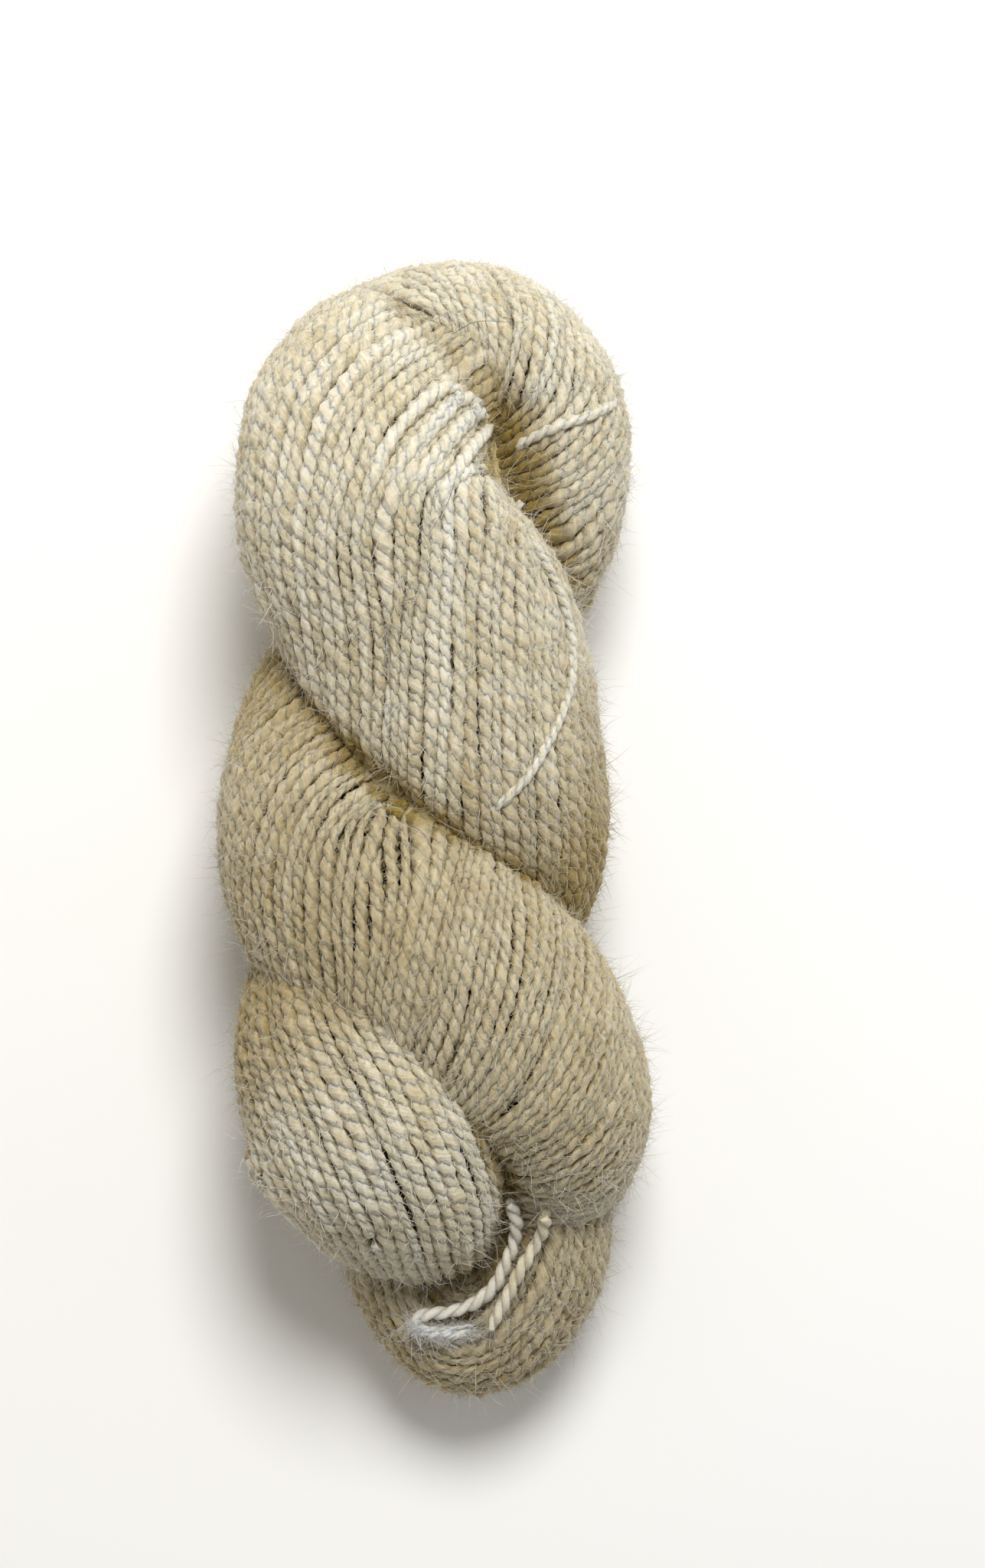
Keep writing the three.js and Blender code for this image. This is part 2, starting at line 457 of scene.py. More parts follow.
winding = {
    "pitch": 3.0,        # from one yarn to the next beside it
    "overlap": 1.16,     # a yarn is this much wider than its place, so that its neighbours touch
    "thick": 0.3,        # how much a yarn's thickness wanders
    "thickWave": 30,
    "thickSpread": 0.5,  # and how much one yarn differs from the next
    "thinnest": 0.6,
    "thickest": 1.5,
    "narrowest": 0.6,    # least and most width, as shares of the pitch
    "widest": 1.7,
    "flatten": 0.4,      # how much the yarns even out round a flat section
    "easeGap": 6,        # marks over which the room between yarns is eased
    "easeYarn": 5,       # and their places and widths
    "beside": 4,         # neighbours on each side that a yarn's width is levelled with
    "sway": 0.35,        # how far a yarn strays to its side
    "lift": 0.4,         # and up or down
    "swayWave": 15,
    "dive": 4.5,         # how deep a yarn goes where there is no room for it
    "fade": 0.06,        # how soon it goes
    "gone": 0.05,        # it is left out when less of it than this still shows
    "leastSlot": 0.02,   # the place that it still takes
    "sit": 0.85,         # depth of a yarn's middle under the skin, in half thicknesses
    "rest": 0.95,        # its least height over the floor, in half thicknesses
    "pull": 12,          # yarn this close to its bundle's skin is laid on it
    "bendShare": 0.85,   # how far a section may reach towards the centre of its bend
    "hidden": 5,         # yarn deeper than this inside another bundle is left out
    "hiddenMore": 1.5,   # and deeper by this for every millimetre of the lower layer
    "covered": 8,        # yarn deeper than this inside the whole hank is left out
    "shortest": 7,       # a shorter stretch than this isn't made
    "toneSpread": 0.5,   # how much a yarn's lightness differs, and wanders
    "toneWave": 45,
    "turnSpread": (0.88, 1.15),      # how much tighter or looser one yarn is twisted
    "patternShift": 500,     # each yarn has its own stretch of the pattern of fibres
    "samples": 700,
    "layerStep": 2.0,    # from the outer yarns down to the ones under them
}
# the painted shade in creases: yarns that other wool hides from the light are made darker and
# yellower
shelter = {
    "reach": 30,         # wool nearer than this shelters a yarn from the light
    "ways": 26,          # in which it is looked for
    "grazing": 0.1,      # ways as flat as this aren't counted
    "every": 4,          # one place in so many is looked at
    "strength": 2.2,     # how fast the shelter counts, once it is more than the least
    "least": 0.15,
}


def shapeOf(rows):
    # the bundle's line, sections and twist, worked out closely along it
    line = softLine(places(rows), winding["samples"])
    size = np.stack([rows[key] for key in ("deep", "wide", "lean", "dim")], axis=1)
    size = softLine(size, winding["samples"])
    ahead = headings(line)
    level = np.clip(line[:, 1], heart["y"][-1], heart["y"][0])
    back = [np.interp(-level, -heart["y"], heart[key]) for key in ("x", "z")]
    out = line - np.stack([back[0], level, back[1]], axis=1)
    out = unit(out - (out * ahead).sum(1)[:, None] * ahead)
    across = np.cross(ahead, out)
    along = lengthAlong(line)
    lean = np.radians(size[:, 2])
    steps = np.diff(along)
    turnRate = np.tan(lean) / ((size[:, 0] + size[:, 1]) / 2)
    turned = np.concatenate([[0], np.cumsum((turnRate[1:] + turnRate[:-1]) / 2 * steps)])
    yarnLength = np.concatenate([[0], np.cumsum(steps / np.cos((lean[1:] + lean[:-1]) / 2))])
    return {
        "line": line,
        "ahead": ahead,
        "out": out,
        "across": across,
        "deep": size[:, 0],
        "wide": size[:, 1],
        "dim": size[:, 3],
        "turned": turned + untwisted(ahead, out, across),
        "yarnLength": yarnLength,
        "bend": np.gradient(ahead, axis=0) / np.gradient(along)[:, None],
    }


def untwisted(ahead, out, across):
    # where a line that never turns round the bundle lies in each section
    kept = out[0]
    angle = []
    for way, up, side in zip(ahead, out, across):
        kept = kept - kept.dot(way) * way
        kept = kept / np.linalg.norm(kept)
        angle.append(np.arctan2(kept.dot(side), kept.dot(up)))
    return np.unwrap(angle)


def pick(shape, marks):
    # the shape's values at these lengths of yarn
    found = {}
    for key, value in shape.items():
        columns = value.reshape(len(value), -1).T
        columns = [np.interp(marks, shape["yarnLength"], column) for column in columns]
        found[key] = np.stack(columns, axis=1) if len(columns) > 1 else columns[0]
    return found


def onSection(at, angle, down=0):
    # points on the bundle's skin, or so far under it, and the way out of it there
    deep, wide = at["deep"] - down, at["wide"] - down
    offset = (deep * np.cos(angle))[..., None] * at["out"]
    offset = offset + (wide * np.sin(angle))[..., None] * at["across"]
    reach = (offset * at["bend"]).sum(-1)
    limit = winding["bendShare"]
    offset = offset * np.where(reach > limit, limit / np.maximum(reach, limit), 1)[..., None]
    outward = (np.cos(angle) / deep)[..., None] * at["out"]
    outward = outward + (np.sin(angle) / wide)[..., None] * at["across"]
    return at["line"] + offset, unit(outward)


def skinOf(shape, rings=90, sides=32):
    # a closed tube for finding what lies inside the bundle
    at = pick(shape, np.linspace(0, shape["yarnLength"][-1], rings))
    turns = np.arange(sides) * 2 * np.pi / sides
    points = np.stack([onSection(at, np.full(rings, turn))[0] for turn in turns], axis=1)
    grid = np.arange(rings * sides).reshape(rings, sides)
    beside = np.roll(grid, -1, axis=1)
    quads = np.stack([grid[:-1], beside[:-1], beside[1:], grid[1:]], axis=-1).reshape(-1, 4)
    faces = quads.tolist() + [grid[0][::-1].tolist(), grid[-1].tolist()]
    return BVHTree.FromPolygons([Vector(p) for p in points.reshape(-1, 3)], faces)


def skinOfNode(name):
    # the solid's own skin, in millimetres
    data = frame["nodes"][name].data
    corners = [corner.co / mm for corner in data.vertices]
    return BVHTree.FromPolygons(corners, [tuple(face.vertices) for face in data.polygons])


def nearest(skin, points):
    # the closest place on the skin, the way out there, and how far inside each point is
    spots, ways, depth = np.empty_like(points), np.empty_like(points), np.empty(len(points))
    for i, point in enumerate(points):
        spot, way, _, away = skin.find_nearest(Vector(point))
        inside = (Vector(point) - spot).dot(way) < 0
        spots[i], ways[i], depth[i] = spot, way, away if inside else -away
    return spots, ways, depth


def spreadOrder(count):
    # numbers from 0 to 1 in which neighbours are far apart
    digits = 10
    return np.array([int(f"{i:0{digits}b}"[::-1], 2) / 2**digits for i in range(count)])


def stretches(shown):
    # first and last index of each unbroken run of shown points
    marks = np.flatnonzero(np.diff(np.concatenate([[0], shown.astype(int), [0]])))
    return marks.reshape(-1, 2)


def apart(lines):
    # from each yarn to the ones beside it, square to its run, at every mark
    beside = np.roll(lines, -1, axis=0) - lines
    ahead = unit(np.gradient(lines, axis=1))
    gap = np.linalg.norm(beside - (beside * ahead).sum(2, keepdims=True) * ahead, axis=2)
    return (gap + np.roll(gap, 1, axis=0)) / 2


def eased(values, reach):
    # a running mean along each yarn
    weights = np.hanning(2 * reach + 3)[1:-1]
    weights = weights / weights.sum()
    padded = np.pad(values, ((0, 0), (reach, reach)), mode="edge")
    return np.stack([np.convolve(row, weights, "valid") for row in padded])


def sphereOf(count):
    # ways spread evenly all round
    k = np.arange(count) + 0.5
    height = 1 - 2 * k / count
    turn = k * np.pi * (1 + 5**0.5)
    flat = np.sqrt(1 - height**2)
    return np.stack([flat * np.cos(turn), flat * np.sin(turn), height], axis=1)


def sheltered(spots, outward):
    # how much of what each place on the skin faces is other wool, from 0 to 1
    picked = np.arange(0, len(spots), shelter["every"])
    found = []
    for point, way in zip((spots + outward)[picked], outward[picked]):
        facing = skyWays @ way
        use = facing > shelter["grazing"]
        hit = [wholeSkin.ray_cast(Vector(point), Vector(ray), shelter["reach"])[0] is not None
               for ray in skyWays[use]]
        found.append(np.dot(hit, facing[use]) / facing[use].sum())
    found = np.clip(np.array(found) * shelter["strength"] - shelter["least"], 0, 1)
    return np.interp(np.arange(len(spots)), picked, found)


def layYarns(name, rng, yarns, spots, look, down):
    # winds one bundle's yarns on its skin, or so far down under it
    shape, skin = runs[name], skins[name]
    marks = np.arange(0, shape["yarnLength"][-1], look["step"])
    at = pick(shape, marks)
    count = bundles[name]["yarns"]
    order = spreadOrder(count)[:, None]
    even = (np.arange(count)[:, None] + rng.uniform(0, 1)) * 2 * np.pi / count + at["turned"]
    flat = winding["flatten"] * (at["wide"] - at["deep"]) / (at["wide"] + at["deep"])

    def laid(place):
        return onSection(at, place - flat * np.sin(2 * place), down)

    # where the yarns are too close, some of them go deeper and the others take their places
    spacing = eased(apart(laid(even)[0]), winding["easeGap"])
    room = spacing / winding["pitch"]
    easeYarn, beside = winding["easeYarn"], winding["beside"]
    share = eased(np.clip((room - order) / winding["fade"] + 1, 0, 1), easeYarn)
    thick = np.stack([
        drift(rng, marks, winding["thickWave"]) + rng.normal(0, winding["thickSpread"])
        for _ in range(count)
    ])
    thick = np.clip(1 + winding["thick"] * thick, winding["thinnest"], winding["thickest"])
    slot = share * thick + winding["leastSlot"]
    around = sum(np.roll(slot, k, axis=0) for k in range(-beside, beside + 1))
    slot = slot / (around / (2 * beside + 1))
    slot = slot / slot.sum(0)
    place = even[:1] + eased((np.cumsum(slot, axis=0) - slot / 2) * 2 * np.pi, easeYarn)
    sway = np.stack([drift(rng, marks, winding["swayWave"]) for _ in range(count)])
    lines, outward = laid(place + winding["sway"] * sway / at["deep"])
    local = np.stack([np.interp(*column, period=2 * np.pi)
                      for column in zip(place.T, even.T, spacing.T)], axis=1)
    width = eased(slot, easeYarn) * count * local
    narrowest, widest = (winding[key] * winding["pitch"] for key in ("narrowest", "widest"))
    radius = winding["overlap"] / 2 * np.clip(width, narrowest, widest)
    for k in range(count):
        line, way = lines[k], outward[k]
        spot, skinWay, depth = nearest(skin, line + way * down)
        pull = np.clip(2 - np.abs(depth) / winding["pull"] * 2, 0, 1)[:, None]
        line = line + pull * (spot - skinWay * down - line)
        way = unit(way + pull * (skinWay - way))
        lift = winding["lift"] * drift(rng, marks, winding["swayWave"])
        dive = np.clip(1 - 2 * share[k], 0, 1) * winding["dive"]
        sunk = radius[k] * winding["sit"] + dive - lift
        line = line - way * sunk[:, None]
        line[:, 2] = np.maximum(line[:, 2], radius[k] * winding["rest"])
        inside = np.max([nearest(other, line)[2] for key, other in skins.items() if key != name],
                        axis=0)
        cover, coverWay, under = nearest(wholeSkin, line)
        # painted shade: darker and yellower where other wool shelters the yarn, and as far as the
        # rows' dim says
        crease = np.maximum(sheltered(cover, coverWay), at["dim"])
        tone = rng.normal(0, winding["toneSpread"])
        tone = tone + winding["toneSpread"] * drift(rng, marks, winding["toneWave"])
        shown = inside < winding["hidden"] + winding["hiddenMore"] * down
        shown = shown & (under < winding["covered"] + down) & (share[k] > winding["gone"])
        columns = np.column_stack([way, radius[k], crease, tone, under])
        turnLength = look["turn"] * rng.uniform(*winding["turnSpread"]) * thick[k].mean()
        for start, end in stretches(shown):
            if (end - start) * look["step"] < winding["shortest"]:
                continue
            run, held = evenly(line[start:end], columns[start:end], look["step"])
            up = unit(held[:, :3])
            rings, along = plyRings(run, up, held[:, 3], turnLength, rng.uniform(0, 2 * np.pi),
                                    rng, look)
            shift = rng.uniform(0, winding["patternShift"])
            yarns.add(rings, along + shift, held[:, 4], held[:, 5])
            spots.append(np.column_stack([run, up, headings(run), held[:, 3:]]))


runs = {name: shapeOf(bundle.get("run", bundle["rows"])) for name, bundle in bundles.items()}
skins = {name: skinOf(shapeOf(bundle["rows"])) for name, bundle in bundles.items()}
wholeSkin = skinOfNode("hank")
skyWays = sphereOf(shelter["ways"])
outerYarns, innerYarns, yarnSpots = {}, {}, {}
for seed, name in enumerate(bundles):
    rng = np.random.default_rng(seeds["yarns"] + seed)
    outer, inner = Yarns(), Yarns()
    yarnSpots[name] = []
    layYarns(name, rng, outer, yarnSpots[name], outerYarn, 0)
    layYarns(name, rng, inner, [], innerYarn, winding["layerStep"])
    outerYarns[name] = outer.piece("yarns_" + name)
    innerYarns[name] = inner.piece("yarnsUnder_" + name)
    print(name, "yarns", trianglesOf(outerYarns[name]), "under", trianglesOf(innerYarns[name]))


# Single yarns that lie over the others, with a place for every bend

strays = {
    "rightEdge": {"thick": 2.4, "turn": 5.5, "route": table("x y", [
        [17, 71], [20.5, 64], [25, 55.5], [28.5, 46.5], [29.6, 38], [28.6, 29.5], [25.2, 21.5],
        [20.5, 13], [14.5, 6.5], [8.5, 1.5]])},
    "foldRight": {"thick": 2.6, "turn": 6, "route": table("x y", [
        [15, 81.5], [20, 84], [25, 86.5], [31, 88.5], [37, 91.5], [42, 95]])},
    "bumpOuter": {"thick": 3.3, "turn": 8, "route": table("x y", [
        [-6, 70], [-1, 77], [4, 84], [8, 89], [11, 89.5], [11, 86], [7.5, 80.5], [3.5, 73],
        [1.5, 66]])},
    "bumpMiddle": {"thick": 3.3, "turn": 8, "route": table("x y", [
        [-10.5, 71], [-5.5, 78.5], [-0.5, 85.5], [4, 91], [7.5, 92.5], [9, 90.5], [6, 85.5],
        [1, 78], [-3, 70]])},
    "bumpInner": {"thick": 3.4, "turn": 8, "route": table("x y", [
        [-15, 72.5], [-10, 80], [-5, 87], [0, 92.5], [3.5, 94.5], [5.5, 93], [2.5, 88],
        [-2.5, 81], [-7, 73.5]])},
}
strayLay = {
    "samples": 60,
    "step": 1.0,
    "sit": 0.1,          # height of its middle over the skin, in half thicknesses
    "endRun": 14,        # samples over which each end goes down between the others
    "endDive": 4,        # and how deep
    "tone": 1.5,         # how much lighter than usual these yarns are
}
lookFrom = 200           # height from which the hank's top is looked for


def above(point):
    # the highest place of the hank over a point of the floor, and the way out there
    high, down = Vector((point[0], point[1], lookFrom)), Vector((0, 0, -1))
    spot, way, _, _ = wholeSkin.ray_cast(high, down)
    if spot is None:
        spot, way, _, _ = wholeSkin.find_nearest(Vector((point[0], point[1], photo["level"])))
    return np.array(spot), np.array(way)


def layStrays():
    yarn = Yarns()
    for seed, stray in enumerate(strays.values()):
        rng = np.random.default_rng(seeds["strays"] + seed)
        route = np.stack([stray["route"]["x"], stray["route"]["y"]], axis=1)
        found = [above(point) for point in softLine(route, strayLay["samples"])]
        line, way = (np.array([pair[k] for pair in found]) for k in (0, 1))
        radius = np.full(len(line), stray["thick"] / 2)
        order = np.arange(len(line))
        ends = np.minimum(order, order[::-1]) / strayLay["endRun"]
        dive = strayLay["endDive"] * np.clip(1 - ends, 0, 1)**2
        line = line + way * (radius * strayLay["sit"] - dive)[:, None]
        run, held = evenly(line, np.column_stack([way, radius]), strayLay["step"])
        rings, along = plyRings(run, unit(held[:, :3]), held[:, 3], stray["turn"], 0, rng,
                                outerYarn)
        yarn.add(rings, along, np.zeros(len(run)), np.full(len(run), strayLay["tone"]))
    return yarn.piece("yarns_stray")


strayYarns = layStrays()
print("strays", trianglesOf(strayYarns))


# Loose fibres that stand off the yarns

halo = {
    "firstLeg": 26000,   # fibres
    "secondLeg": 28000,
    "endLoop": 5000,
    "loopEye": 1500,
    "curled": 0.35,      # the share of them that bend, and are longer
    "long": 4.6,         # usual length of a bent fibre
    "longSpread": 0.45,
    "longest": 7.5,
    "short": 2.3,        # and of a straight one
    "shortSpread": (0.5, 1.5),
    "thin": 0.07,        # half their thickness
    "bentThin": (0.6, 1.2),
    "straightThin": (0.7, 1.3),
    "curl": 0.5,
    "stand": 0.7,        # how far they stand off the yarn instead of lying along it
    "spread": (0.2, 1.6),    # how much curl and stand differ
    "aside": 0.6,        # how far they stray from that way
    "round": 1.7,        # how far round the yarn from its top they start, in radians
    "root": 0.8,         # and how far out, in half thicknesses
    "bentJoints": 3,
    "straightJoints": 2,
    "open": 1.5,         # they get fewer where a yarn goes under others,
    "closing": 3,        # over this much depth,
    "fullHeight": 30,    # and towards the floor, from this height
    "fewest": 0.25,
}
fibre = {
    "taper": 0.5,        # how much thinner than its root a fibre ends
    "rest": 0.05,        # lowest point over the floor
    "aslant": (0.31, 0.52, 0.79),    # a way that hardly any fibre has, to turn its sides by
}
# the columns that hold what is known of each place on the outer yarns
spotParts = {
    "line": slice(0, 3),
    "up": slice(3, 6),
    "ahead": slice(6, 9),
    "radius": slice(9, 10),
    "crease": slice(10, 11),
    "under": slice(12, 13),
}


def pointsOn(joints):
    # of a three-sided fibre with one point at its end
    return (joints - 1) * 3 + 1


def hairs(root, first, curl, length, thin, joints):
    # closed three-sided fibres that taper to a point
    t = np.linspace(0, 1, joints)
    spine = root[:, None] + (first * length[:, None])[:, None] * t[:, None]
    spine = spine + (curl * length[:, None])[:, None] * (t**2)[:, None]
    return tubes(spine, thin[:, None] * (1 - fibre["taper"] * t))


def tubes(spine, radius):
    # three-sided tubes round many lines of as many points each, ending in a point
    ahead = unit(np.gradient(spine, axis=1))
    side = unit(np.cross(ahead, np.array(fibre["aslant"])))
    other = np.cross(ahead, side)
    angle = np.arange(3) * 2 * np.pi / 3
    ring = side[:, :, None] * np.cos(angle)[:, None] + other[:, :, None] * np.sin(angle)[:, None]
    rings = spine[:, :-1, None] + ring[:, :-1] * radius[:, :-1, None, None]
    count, joints = spine.shape[:2]
    points = np.concatenate([rings.reshape(count, -1, 3), spine[:, -1:]], axis=1)
    points[..., 2] = np.maximum(points[..., 2], fibre["rest"])
    each = pointsOn(joints)
    first = (np.arange(count) * each)[:, None, None]
    grid = np.arange(each - 1).reshape(1, joints - 1, 3) + first
    beside = np.roll(grid, -1, axis=2)
    walls = np.stack([grid[:, :-1], beside[:, :-1], beside[:, 1:], grid[:, 1:]], axis=-1)
    tip = np.broadcast_to(first[:, 0] + each - 1, (count, 3))
    tips = np.stack([grid[:, -1], beside[:, -1], tip], axis=-1)
    lids = np.concatenate([tips.reshape(-1, 3), grid[:, 0, ::-1]])
    return points.reshape(-1, 3), [walls.reshape(-1, 4), lids]


def rooted(name, count, rng):
    # places on the outer yarns' skin for fibres, and the ways in which they start
    spots = np.concatenate(yarnSpots[name])
    line, up, ahead, radius, crease, under = (spots[:, part] for part in spotParts.values())
    seen = np.clip(halo["open"] - under[:, 0] / halo["closing"], 0, 1)
    seen = seen * np.clip(line[:, 2] / halo["fullHeight"], halo["fewest"], 1)
    chosen = rng.choice(len(spots), count, p=seen / seen.sum())
    up, ahead = up[chosen], ahead[chosen]
    spin = rng.uniform(-halo["round"], halo["round"], count)[:, None]
    off = np.cos(spin) * up + np.sin(spin) * np.cross(ahead, up)
    along = ahead * rng.choice([-1, 1], count)[:, None]
    aside = rng.normal(0, halo["aside"], along.shape)
    stand = halo["stand"] * rng.uniform(*halo["spread"], (count, 1))
    root = line[chosen] + off * radius[chosen] * halo["root"]
    return root, unit(along + off * stand + aside), crease[chosen, 0]


def growHalo(name, rng):
    joints = halo["bentJoints"], halo["straightJoints"]
    count = int(halo[name] * halo["curled"])
    root, first, bentPaintedShade = rooted(name, count, rng)
    curl = unit(rng.normal(0, 1, root.shape)) * halo["curl"]
    curl = curl * rng.uniform(*halo["spread"], (count, 1))
    length = halo["long"] * rng.lognormal(0, halo["longSpread"], count)
    length = np.minimum(length, halo["longest"])
    thin = halo["thin"] * rng.uniform(*halo["bentThin"], count)
    bent, bentFaces = hairs(root, first, curl, length, thin, joints[0])
    count = halo[name] - count
    root, first, straightPaintedShade = rooted(name, count, rng)
    length = halo["short"] * rng.uniform(*halo["shortSpread"], count)
    thin = halo["thin"] * rng.uniform(*halo["straightThin"], count)
    straight, straightFaces = hairs(root, first, np.zeros_like(root), length, thin, joints[1])
    faces = bentFaces + [part + len(bent) for part in straightFaces]
    # each fibre takes the painted shade of the yarn where it grows
    creases = zip((bentPaintedShade, straightPaintedShade), joints)
    crease = np.concatenate([np.repeat(part, pointsOn(number)) for part, number in creases])
    return pieceOf("halo_" + name, np.concatenate([bent, straight]),
                   [part for part in faces if len(part)], fields={"crease": crease})


halos = {}
for seed, name in enumerate(bundles):
    halos[name] = growHalo(name, np.random.default_rng(seeds["halo"] + seed))
    print(name, "halo", trianglesOf(halos[name]))


# The long coarse hairs that show singly

guardHairs = {
    "dark": [
        [[4.5, 106.7], [7.8, 108.3], [11.2, 108.8], [16, 108.7], [20.8, 108.6]],
        [[4.5, 73.5], [3, 69], [1, 65.5], [-1.2, 61.5]],
        [[-12.5, -104.5], [-11.5, -107], [-12, -110.5], [-14, -113.5]],
        [[19.5, -109], [17, -113], [16.2, -117.5], [15.8, -121.5]],
    ],
    "light": [
        [[-11, 4.5], [-6, 1.5], [0, -1], [6, -3.5]],
        [[-3, 6], [2, 1.5], [7.5, -1], [12, -1.5]],
        [[-26, -36.5], [-23, -38.5], [-21, -41.5]],
        [[-20, -34], [-15, -36.5], [-9, -37.5]],
        [[16, 80], [20, 83], [23, 81.5], [26, 78]],
        [[15, 77], [21, 75], [27, 77.5]],
        [[22, 70], [28, 72], [33, 70.5]],
        [[5, -26], [8, -31], [8.5, -37]],
        [[-37, -62], [-41, -64], [-43, -67]],
        [[10, -41], [14, -44], [15, -49]],
        [[33, 10], [36, 6], [36.5, 1]],
        [[-30, 78], [-27, 73], [-27.5, 67]],
    ],
}
guardShape = {
    "thin": {"dark": 0.075, "light": 0.06},      # half their thickness
    "taper": 0.6,
    "joints": 12,
    "rise": 0.8,         # height over the hank at the ends
    "bow": 0.9,          # and how much more in the middle
}


def addGuardHairs(name):
    joints = guardShape["joints"]
    rise = guardShape["rise"] + guardShape["bow"] * np.sin(np.linspace(0, np.pi, joints))
    spine = []
    for route in guardHairs[name]:
        found = [above(point) for point in softLine(route, joints)]
        spine.append([spot + way * up for (spot, way), up in zip(found, rise)])
    spine = np.array(spine)
    taper = 1 - guardShape["taper"] * np.linspace(0, 1, joints)**2
    radius = np.tile(guardShape["thin"][name] * taper, (len(spine), 1))
    return pieceOf("guardHairs_" + name, *tubes(spine, radius))


guards = {name: addGuardHairs(name) for name in guardHairs}


# The frayed end of the long tie: soft open plies and their loose fibres

tuft = {
    "from": 0.74,        # where the long end starts to open, as a share of its length
    "strands": 7,
    "start": 0.35,       # how much later the last strand opens, as a share of the rest
    "spread": 1.21,      # how far apart the strands end
    "level": (1, 1, 0.35),
    "open": 0.8,         # below 1, they spread early
    "wander": 0.7,
    "wanderRun": 14,
    "wanderWave": 4,
    "rise": 0.3,
    "bow": 0.5,
    "thick": 2.1,
    "thickest": 1.1,     # at a strand's start, as a share of thick
    "taper": 0.75,
    "thickSpread": (0.7, 1.2),
    "turn": 5,
    "tone": 0.9,
    # how many loose fibres, how long they are and how far from the middle they start
    "onTail": (900, 3.2, 0.8),
    "onLong": (450, 2.6, 0.6),
    "onShort": (300, 2.6, 0.6),
}
tieFibre = {
    "flat": (1, 1, 0.7),     # they start less far out upwards
    "spread": 0.55,
    "level": (1, 1, 0.5),    # and point less upwards
    "lift": 0.15,
    "curl": 0.7,
    "curlSpread": (0.2, 1),
    "longSpread": 0.4,
    "longest": 9,
    "thin": (0.03, 0.06),
    "joints": 5,
}


def addTuft():
    rng = np.random.default_rng(seeds["tuft"])
    line = tieLines["tieYarn_long"]
    tail = line[int(len(line) * tuft["from"]):]
    yarn = Yarns()
    for _ in range(tuft["strands"]):
        start = int(len(tail) * rng.uniform(0, tuft["start"]))
        own = tail[start:].copy()
        t = np.linspace(0, 1, len(own))
        aside = rng.normal(0, tuft["spread"], 3) * tuft["level"]
        own = own + aside * (t**tuft["open"])[:, None]
        marks = t * tuft["wanderRun"]
        wander = np.stack([drift(rng, marks, tuft["wanderWave"]) for _ in range(3)], axis=1)
        own = own + tuft["wander"] * wander * t[:, None]
        own[:, 2] += tuft["bow"] * np.sin(np.pi * t) + tuft["rise"]
        radius = tuft["thick"] / 2 * (tuft["thickest"] - tuft["taper"] * t)
        radius = radius * rng.uniform(*tuft["thickSpread"])
        rings, along = plyRings(own, np.tile([0, 0, 1.0], (len(own), 1)), radius, tuft["turn"], 0,
                                rng, outerYarn)
        yarn.add(rings, along, np.zeros(len(own)), np.full(len(own), tuft["tone"]))
    groups = [(tail, *tuft["onTail"]), (line, *tuft["onLong"])]
    loose = tieFibresOn("tieFibres_long", groups, rng)
    groups = [(tieLines["tieYarn_short"], *tuft["onShort"])]
    other = tieFibresOn("tieFibres_short", groups, rng)
    return yarn.piece("tieStrands"), loose, other


def tieFibresOn(name, groups, rng):
    # each group is a line, how many fibres it has, how long they are and how far out they start
    flat, level = tieFibre["flat"], tieFibre["level"]
    parts = []
    for line, count, long, out in groups:
        chosen = rng.integers(0, len(line), count)
        ahead = headings(line)[chosen] * rng.choice([-1, 1, 1], count)[:, None]
        root = line[chosen] + rng.normal(0, out, (count, 3)) * flat
        aside = rng.normal(0, tieFibre["spread"], root.shape) * level
        first = unit(ahead + aside + [0, 0, tieFibre["lift"]])
        curl = unit(rng.normal(0, 1, root.shape)) * tieFibre["curl"]
        curl = curl * rng.uniform(*tieFibre["curlSpread"], (count, 1))
        length = long * rng.lognormal(0, tieFibre["longSpread"], count)
        length = np.minimum(length, tieFibre["longest"])
        parts.append((root, first, curl, length, rng.uniform(*tieFibre["thin"], count)))
    joined = [np.concatenate(part) for part in zip(*parts)]
    return pieceOf(name, *hairs(*joined, tieFibre["joints"]))


tieStrands, longFibres, shortFibres = addTuft()


# The wool deeper in the hank, seen between its yarns

core = {
    "merge": 0.01,       # corners of the solid nearer than this are one
    "grain": 2.8,
    "sink": 4.2,         # how deep it lies under the solid's skin
    "ease": 2,
    "easeShare": 0.5,
}


def addCore():
    bpy.ops.object.select_all(action="DESELECT")
    source = frame["nodes"]["hank"]
    made = source.copy()
    made.data = source.data.copy()
    made.name = "wool_inside"
    made.parent = None
    bpy.context.collection.objects.link(made)
    bpy.context.view_layer.objects.active = made
    made.select_set(True)
    bpy.ops.object.mode_set(mode="EDIT")
    bpy.ops.mesh.select_all(action="SELECT")
    bpy.ops.mesh.remove_doubles(threshold=core["merge"] * mm)
    bpy.ops.object.mode_set(mode="OBJECT")
    remesh = made.modifiers.new("even", "REMESH")
    remesh.mode = "VOXEL"
    remesh.voxel_size = core["grain"] * mm
    sink = made.modifiers.new("sink", "DISPLACE")
    sink.strength = -core["sink"] * mm
    sink.mid_level = 0
    ease = made.modifiers.new("ease", "SMOOTH")
    ease.factor = core["easeShare"]
    ease.iterations = core["ease"]
    for modifier in [m.name for m in made.modifiers]:
        bpy.ops.object.modifier_apply(modifier=modifier)
    bpy.ops.object.shade_smooth()
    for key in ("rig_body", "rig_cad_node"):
        if key in made:
            del made[key]
    return made


woolInside = addCore()
print("inside", trianglesOf(woolInside))


# Finishes

